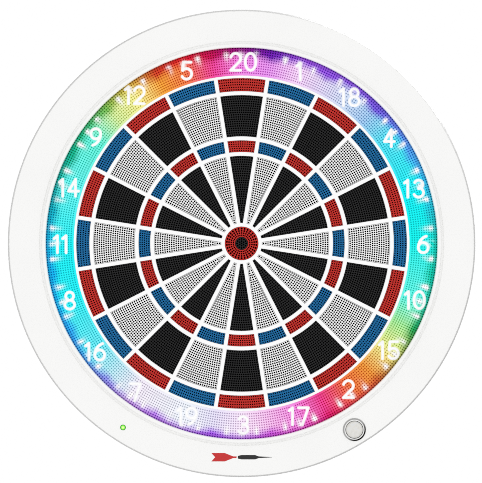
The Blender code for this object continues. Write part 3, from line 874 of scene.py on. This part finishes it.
def outlines(segments, reach):
    """Closed outlines of everything within reach of the strokes, by marching squares."""
    step = NUMERAL_STEP
    xs = [p[0] for s in segments for p in s]
    zs = [p[1] for s in segments for p in s]
    margin = reach + 2 * step
    left, low = min(xs) - margin, min(zs) - margin
    columns = ceil((max(xs) + margin - left) / step) + 1
    rows = ceil((max(zs) + margin - low) / step) + 1
    field = {}
    for i in range(columns):
        for j in range(rows):
            field[i, j] = stroke_distance(left + i * step, low + j * step, segments)[0] - reach
    following = {}
    for i in range(columns - 1):
        for j in range(rows - 1):
            corners = ((i, j), (i + 1, j), (i + 1, j + 1), (i, j + 1))
            exits, entries = [], []
            for k in range(4):
                a, b = corners[k], corners[(k + 1) % 4]
                if field[a] < 0 <= field[b]:
                    exits.append((k, frozenset((a, b))))
                elif field[b] < 0 <= field[a]:
                    entries.append((k, frozenset((a, b))))
            for k, edge in exits:
                following[edge] = min(entries, key=lambda entry: (entry[0] - k) % 4)[1]
    loops = []
    while following:
        edge = next(iter(following))
        loop = []
        while edge in following:
            a, b = sorted(edge)
            share = field[a] / (field[a] - field[b])
            loop.append((left + (a[0] + (b[0] - a[0]) * share) * step,
                         low + (a[1] + (b[1] - a[1]) * share) * step))
            edge = following.pop(edge)
        loops.append(thin_out(loop, 0.6 * step))
    return loops


def thin_out(loop, spacing):
    """Drop points that crowd their neighbour."""
    kept = [loop[0]]
    for point in loop[1:]:
        if hypot(point[0] - kept[-1][0], point[1] - kept[-1][1]) > spacing:
            kept.append(point)
    if hypot(kept[0][0] - kept[-1][0], kept[0][1] - kept[-1][1]) < spacing:
        kept.pop()
    return kept


def numeral_mesh(name, segments):
    """Raised strokes with round ends and softened edges."""
    solid = Solid()
    base, top = [], []
    for loop in outlines(segments, NUMERAL_STROKE / 2):
        inner = []
        for x, z in loop:
            away, sx, sz = stroke_distance(x, z, segments)
            inner.append((x + (sx - x) * NUMERAL_SOFT / away, z + (sz - z) * NUMERAL_SOFT / away))
        rings = [solid.loop(loop, RING_FRONT + NUMERAL_SINK),
                 solid.loop(loop, RING_FRONT - NUMERAL_RISE + NUMERAL_SOFT),
                 solid.loop(inner, RING_FRONT - NUMERAL_RISE)]
        solid.stack(rings)
        base.append(rings[0])
        top.append(rings[-1])
    fill_nested(solid, base)
    fill_nested(solid, top)
    return solid.mesh(name, sharp=50)


def fill_nested(solid, loops):
    """Fill several outlines, some of which lie inside others as holes."""
    def inside(point, loop):
        crossings = 0
        x, _, z = point
        for a, b in zip(loop, loop[1:] + loop[:1]):
            ax, _, az = solid.points[a]
            bx, _, bz = solid.points[b]
            if (az > z) != (bz > z) and x < ax + (z - az) / (bz - az) * (bx - ax):
                crossings += 1
        return crossings % 2 == 1

    holes = {}
    for loop in loops:
        parents = [o for o in loops if o is not loop and inside(solid.points[loop[0]], o)]
        if parents:
            holes[id(loop)] = parents[0]
    for loop in loops:
        if id(loop) not in holes:
            solid.fill([loop] + [o for o in loops if holes.get(id(o)) is loop])


def make_number_ring():
    """Perforated translucent ring. No holes are left under the numbers."""
    inner, outer = RING
    first, last = RING_HOLES
    clear = NUMERAL_STROKE / 2 + RING_HOLE_RADIUS * 0.6
    solid = Solid()
    for index, number in enumerate(NUMBERS):
        segments = numeral_strokes(index, number)
        turn = index * WEDGE
        holes = []
        for row in range(RING_ROWS):
            radius = first + (last - first) * row / (RING_ROWS - 1)
            for column in range(RING_COLUMNS):
                centre = place(radius, turn + WEDGE * ((column + 0.5) / RING_COLUMNS - 0.5))
                if stroke_distance(*centre, segments)[0] > clear:
                    holes.append((centre, RING_HOLE_RADIUS))
        face = solid.loop(turn_outline(sector(inner + RING_EDGE, outer - RING_EDGE, 0.0), turn), RING_FRONT)
        perforate(solid, [face], holes, RING_FRONT, RING_HOLE_DEPTH, sides=6)
        name = f"numeral_{number:02d}"
        add_piece(name, numeral_mesh(name, segments), [NUMERAL], "housing")
    skirt = outer - RING_THICKNESS
    back = RING_FRONT + RING_THICKNESS
    edge = RING_FRONT + RING_EDGE
    profile = [(inner + RING_EDGE, RING_FRONT), (inner, edge), (inner, back), (skirt, back),
               (skirt, RING_BACK), (outer, RING_BACK), (outer, edge), (outer - RING_EDGE, RING_FRONT)]
    solid.stack(solid.circles(profile))
    add_piece("lit_number_ring", solid.mesh("lit_number_ring"), [RING_LOOK, RING_HOLE_LOOK], "housing",
              ["number_ring"])


# ---------------------------------------------------------------- shells and small parts
def make_bezel():
    plate_back = BEZEL_FRONT + BEZEL_WALL
    skirt_inner = HOUSING_RADIUS + GAP
    ledge = RING_FRONT - GAP
    wall_inner = RING[1] + 0.0005
    wall_outer = wall_inner + BEZEL_WALL
    wall_back = RING_FRONT + 0.0040
    groove = BEZEL_FRONT + GROOVE_DEPTH
    front_edge = BEZEL_RADIUS - BEZEL_CHAMFER[0] - BEZEL_FILLET
    rim_centre = RIM_FRONT + RIM_ROUND
    profile = [(BEZEL_RADIUS - BEZEL_EDGE, BEZEL_BACK), (BEZEL_RADIUS, BEZEL_BACK - BEZEL_EDGE),
               (BEZEL_RADIUS, BEZEL_FRONT + BEZEL_CHAMFER[1])]
    profile += fillet((front_edge, BEZEL_FRONT + BEZEL_FILLET), BEZEL_FILLET, 20, 90)
    profile += [(GROOVE_OUTER + 0.0006, BEZEL_FRONT), (GROOVE_OUTER, BEZEL_FRONT + 0.00015),
                (GROOVE_OUTER - 0.0008, groove), (RIM[1], groove)]
    profile += fillet((RIM[1] - RIM_ROUND, rim_centre), RIM_ROUND, 0, 90, 5)
    profile += fillet((RIM[0] + RIM_ROUND, rim_centre), RIM_ROUND, 90, 180, 5)
    profile += [(RIM[0], ledge), (wall_inner, ledge), (wall_inner, wall_back), (wall_outer, wall_back),
                (wall_outer, plate_back), (skirt_inner - BEZEL_WALL, plate_back),
                (skirt_inner, plate_back + BEZEL_WALL), (skirt_inner, BEZEL_BACK)]
    cutter = Solid()
    for distance, angle, radius in ((BUTTON_DISTANCE, BUTTON_ANGLE, BUTTON_HOLE_RADIUS),
                                    (LIGHT_DISTANCE, LIGHT_ANGLE, LIGHT_RADIUS + 0.0002)):
        outline = circle(radius, 64, place(distance, angle))
        cutter.prism(outline, BEZEL_FRONT - CUT_MARGIN, plate_back + CUT_MARGIN)
    shell = carve(lathed("bezel_shell", profile, closed=True), cutter.mesh("bezel_holes"), "bezel_shell")
    add_piece("bezel_shell", shell, [WHITE], "housing", ["front_bezel"])


def make_housing():
    """Rear dish with stiffening grooves, recessed screws, a window for the hanger and a port."""
    inner = HOUSING_RADIUS - HOUSING_WALL
    wide, narrow, depth = HOUSING_GROOVE
    profile = [(0.0, 0.0)]
    for radius in HOUSING_GROOVES:
        profile += [(radius - wide, 0.0), (radius - narrow, -depth)]
        profile += [(radius + narrow, -depth), (radius + wide, 0.0)]
    profile += fillet((HOUSING_RADIUS - HOUSING_FILLET, -HOUSING_FILLET), HOUSING_FILLET, -90, 0)
    profile += [(HOUSING_RADIUS, HOUSING_FRONT + HOUSING_EDGE),
                (HOUSING_RADIUS - HOUSING_EDGE, HOUSING_FRONT), (inner, HOUSING_FRONT),
                (inner, -HOUSING_WALL), (0.0, -HOUSING_WALL)]
    cutter = Solid()
    spots = [place(SCREW_DISTANCE, side * angle) for angle in SCREW_ANGLES for side in (-1, 1)]
    for spot in spots:
        cutter.prism(circle(SCREW_RECESS[0], 40, spot), -SCREW_RECESS[1], CUT_MARGIN)
    low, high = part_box("hanger_plate")
    middle = (low.z + high.z) / 2
    half_width, half_height = HANGER_WINDOW
    cutter.prism(rectangle(-half_width, half_width, middle - half_height, middle + half_height),
                 -HOUSING_WALL - CUT_MARGIN, CUT_MARGIN)
    low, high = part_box("usb_socket")
    port = rectangle(low.x - GAP, high.x + GAP, low.z - 0.004, low.z + 0.006)
    cutter.prism(port, low.y - GAP, high.y + GAP)
    shell = carve(lathed("rear_shell", profile), cutter.mesh("housing_cuts"), "rear_shell")
    add_piece("rear_shell", shell, [HOUSING_LOOK], "housing", ["rear_housing"])
    for number, spot in enumerate(spots, 1):
        name = f"screw_{number}"
        add_piece(name, moved(screw_mesh(name), *spot), [STEEL], "housing")


def screw_mesh(name):
    """Pan head with a cross recess, its back towards +Y."""
    radius, seat, top = SCREW_RADIUS, -SCREW_RECESS[1], -0.0003
    profile = [(0.0, seat), (radius, seat), (radius, top - 0.0006), (radius - 0.0004, top - 0.0002),
               (radius - 0.0010, top), (0.0, top)]
    arm, half = 0.0021, 0.0004
    cross = []
    for x, z in ((-1, -1), (1, -1), (1, 1), (-1, 1)):
        corner = [(x * half, z * arm), (x * half, z * half), (x * arm, z * half)]
        cross += corner if x != z else reversed(corner)
    cutter = Solid()
    cutter.prism(cross, top - 0.0008, top + CUT_MARGIN)
    return carve(lathed(name, profile, 48), cutter.mesh("cross"), name)


def make_button():
    """Chrome ring, with a shallow inner slope and a conical outer one, round a domed cap."""
    spot = place(BUTTON_DISTANCE, BUTTON_ANGLE)
    front = front_of("button_ring")
    rise = BEZEL_FRONT - front
    bore = BUTTON_BORE_RADIUS
    crest = bore + BUTTON_RING_BEVEL
    barrel = BUTTON_HOLE_RADIUS - 0.0004
    barrel_back = BEZEL_FRONT + 0.0060
    profile = [(bore, front + 0.0004), (bore + 0.0002, front + 0.0001), (crest, front),
               (crest + 0.0002, front + rise * 0.05), (BUTTON_RING_RADIUS - 0.0001, front + rise * 0.88),
               (BUTTON_RING_RADIUS, BEZEL_FRONT), (barrel, BEZEL_FRONT), (barrel, barrel_back),
               (bore, barrel_back)]
    ring = lathed("button_bezel", profile, 96, closed=True, at=spot)
    add_piece("button_bezel", ring, [CHROME], "housing", ["button_ring"])

    front = front_of("button_cap")
    cap_back = front + 0.0070
    stem, stem_back = 0.0022, back_of("button_cap")
    profile = [(0.0, front), (0.0040, front + 0.00008), (0.0070, front + 0.0003), (0.0084, front + 0.0006),
               (0.0094, front + 0.0010), (0.0100, front + 0.0016), (BUTTON_CAP_RADIUS, front + 0.0024),
               (BUTTON_CAP_RADIUS, cap_back), (stem, cap_back), (stem, stem_back), (0.0, stem_back)]
    cap = lathed("push_button", profile, 96, at=spot)
    add_piece("push_button", cap, [pearl()], "button_cap", ["button_cap"])


def make_status_light():
    front = front_of("status_lens")
    back = back_of("status_lens")
    collar = LIGHT_RADIUS + LIGHT_COLLAR[0]
    collar_front = back - LIGHT_COLLAR[1]
    profile = [(0.0, front), (0.0010, front + 0.00006), (0.0019, front + 0.0003), (0.0026, front + 0.0006),
               (0.0030, front + 0.0009), (LIGHT_RADIUS, BEZEL_FRONT), (LIGHT_RADIUS, collar_front),
               (collar, collar_front), (collar, back), (0.0, back)]
    lens = lathed("status_light", profile, 48, at=place(LIGHT_DISTANCE, LIGHT_ANGLE))
    add_piece("status_light", lens, [status_look()], "housing", ["status_lens"])


def mirrored(half):
    """A closed outline from its upper half, which runs along the x axis."""
    return half + [(x, -z) for x, z in reversed(half)]


def make_mark():
    """A small plain dart below the target: red flight, black barrel and point."""
    flight = mirrored([(-0.036, 0.0050), (-0.020, 0.0050), (-0.0100, 0.0010), (-0.0060, 0.0010)])
    flight.append((-0.0315, 0.0))
    barrel = mirrored([(-0.0045, 0.0016), (0.0, 0.0026), (0.0160, 0.0026), (0.0205, 0.0010),
                       (0.0360, 0.0002)])
    for colour, outline, look in (("red", flight, MARK_RED), ("black", barrel, MARK_BLACK)):
        solid = Solid()
        solid.prism([(x, z - MARK_DISTANCE) for x, z in outline], BEZEL_FRONT - MARK_THICKNESS,
                    BEZEL_FRONT + MARK_THICKNESS)
        name = "mark_" + colour
        add_piece(name, solid.mesh(name), [look], "housing")


def make_hanger():
    """Steel plate with a keyhole, seen through the window in the back."""
    low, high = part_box("hanger_plate")
    middle = (low.z + high.z) / 2
    half_height = (high.z - low.z) / 2
    hole, slot, way = KEYHOLE
    centre = middle - KEYHOLE_DROP
    opening = asin(slot / hole)
    keyhole = []
    for i in range(49):
        x, z = place(hole, opening + (2 * pi - 2 * opening) * i / 48)
        keyhole.append((x, centre + z))
    for i in range(17):
        x, z = place(slot, -pi / 2 + pi * i / 16)
        keyhole.append((x, centre + way + z))
    solid = Solid()
    plates = []
    for shrink, depth in ((HANGER_EDGE, low.y), (0.0, low.y + HANGER_EDGE),
                          (0.0, high.y - HANGER_EDGE), (HANGER_EDGE, high.y)):
        radius = HANGER_CORNER - shrink
        corners = []
        for side, end, start in ((1, 1, 0), (1, -1, 90), (-1, -1, 180), (-1, 1, 270)):
            for i in range(7):
                x, z = place(radius, radians(start + 15 * i))
                corners.append((side * (high.x - HANGER_CORNER) + x,
                                middle + end * (half_height - HANGER_CORNER) + z))
        plates.append(solid.loop(corners, depth))
    keyholes = [solid.loop(keyhole, depth) for depth in (low.y, high.y)]
    solid.stack(plates)
    solid.stack(keyholes)
    for end in (0, -1):
        solid.fill([plates[end], keyholes[end]])
    add_piece("hanger", solid.mesh("hanger"), [STEEL], "housing", ["hanger_plate"])


def make_layers():
    """Soft discs behind the keys, and a finish for the inner parts that stay as they are."""
    for name, node, look, slot, soft in (("key_mat", "rubber_mat", RUBBER, "rubber", 0.0004),
                                         ("foam_pad", "damping_pad", foam(), "foam", 0.0012)):
        low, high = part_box(node)
        edge = [(high.z - soft, 0.0), (high.z - soft * 0.3, soft * 0.3), (high.z, soft)]
        profile = [(0.0, low.y)] + [(radius, low.y + depth) for radius, depth in edge]
        profile += [(radius, high.y - depth) for radius, depth in reversed(edge)] + [(0.0, high.y)]
        piece = add_piece(name, lathed(name, profile, 120), [look], "housing", [node])
    for node, look in (("sensor_membrane", membrane()),
                       ("backing_plate", plastic("plate_plastic", (0.03, 0.03, 0.032), 0.55, drift=0.08)),
                       ("led_board", circuit_board("ring_board")),
                       ("main_board", circuit_board("main_board_green")),
                       ("button_switch", plastic("switch_plastic", (0.02, 0.02, 0.021), 0.45, drift=0.06)),
                       ("usb_socket", STEEL)):
        for slot in cad[node].material_slots:
            slot.material = look


# ---------------------------------------------------------------- view and light
def make_view():
    scene = bpy.context.scene
    data = bpy.data.cameras.new("camera")
    camera = bpy.data.objects.new("camera", data)
    scene.collection.objects.link(camera)
    camera.location = (0.0, -CAMERA_DISTANCE, 0.0)
    camera.rotation_euler = (pi / 2, 0.0, 0.0)
    data.sensor_fit = "HORIZONTAL"
    data.sensor_width = 36.0
    to_face = CAMERA_DISTANCE + SPIDER_FRONT
    data.lens = data.sensor_width * to_face / VIEW_WIDTH
    data.shift_x = -AXIS_OFFSET[0] / VIEW_WIDTH
    data.shift_y = AXIS_OFFSET[1] / VIEW_WIDTH
    data.clip_end = 100.0
    scene.camera = camera
    scene.view_settings.view_transform = "Standard"
    scene.cycles.use_denoising = False      # it would smear the fine rows of holes
    scene.cycles.filter_width = 0.9


def make_floor():
    mesh = bpy.data.meshes.new("floor")
    mesh.from_pydata([(x, -y, FLOOR_HEIGHT) for x, y in circle(FLOOR_RADIUS, 96)], [], [range(96)])
    floor = bpy.data.objects.new("floor", mesh)
    bpy.context.scene.collection.objects.link(floor)
    paper = Look("floor_paper", (0.22, 0.22, 0.22), 0.9, Specular_IOR_Level=0.1)
    glow = paper.ramp(paper.noise(0.5), ((0.3, (0.96, 0.96, 0.96)), (0.7, (1.0, 1.0, 1.0))))
    paper.drive("Emission Color", glow)
    paper.set("Emission Strength", 0.62)
    mesh.materials.append(paper.material)
    # the board is lit evenly from above and below
    floor.visible_diffuse = False
    floor.visible_glossy = False


def make_world():
    """White all round for the camera. Light comes evenly from the front half, and little from behind.

    Polished parts mirror a grey studio that is dark at the lower right.
    """
    world = bpy.data.worlds.new("studio")
    bpy.context.scene.world = world
    world.use_nodes = True
    world.cycles.sampling_method = "NONE"
    tree = Nodes(world.node_tree)
    tree.nodes.clear()

    def fade(source, start, end, first, last):
        node = tree.add("ShaderNodeMapRange", interpolation_type="SMOOTHSTEP", sources={
            "Value": source, "From Min": start, "From Max": end, "To Min": first, "To Max": last})
        return node.outputs["Result"]

    def blend(factor, first, second):
        return tree.add("ShaderNodeMix", {0: factor, 2: first, 3: second}).outputs[0]

    towards = tree.add("ShaderNodeTexCoord").outputs["Generated"]
    right, back, up = tree.add("ShaderNodeSeparateXYZ", {0: towards}).outputs
    even = fade(back, -0.15, 0.10, FRONT_LIGHT, BACK_LIGHT)
    panels = fade(tree.math("SUBTRACT", right, up), 0.1, 1.1, PANEL_LIGHT, PANEL_DARK)
    mirrored_light = blend(fade(back, -0.90, -0.70, 0.0, 1.0), FRONT_LIGHT, panels)
    path = tree.add("ShaderNodeLightPath").outputs
    strength = blend(path["Is Glossy Ray"], even, mirrored_light)
    strength = blend(path["Is Camera Ray"], strength, 1.0)
    light = tree.add("ShaderNodeBackground", {"Strength": strength, "Color": (1.0, 1.0, 1.0, 1.0)})
    tree.add("ShaderNodeOutputWorld", {"Surface": light.outputs["Background"]})


def make_back_light():
    """A soft lamp behind the board, at the upper right, that shows the back."""
    data = bpy.data.lights.new("back_light", "AREA")
    data.shape = "DISK"
    data.size = 1.4
    data.energy = 60.0
    light = bpy.data.objects.new("back_light", data)
    bpy.context.scene.collection.objects.link(light)
    light.location = (1.2, 3.0, 1.6)
    light.rotation_euler = (-light.location).to_track_quat("-Z", "Y").to_euler()


make_view()
make_floor()
make_world()
make_back_light()
make_keys()
make_bulls()
make_spider()
make_number_ring()
make_bezel()
make_housing()
make_button()
make_status_light()
make_mark()
make_hanger()
make_layers()

bpy.context.view_layer.update()
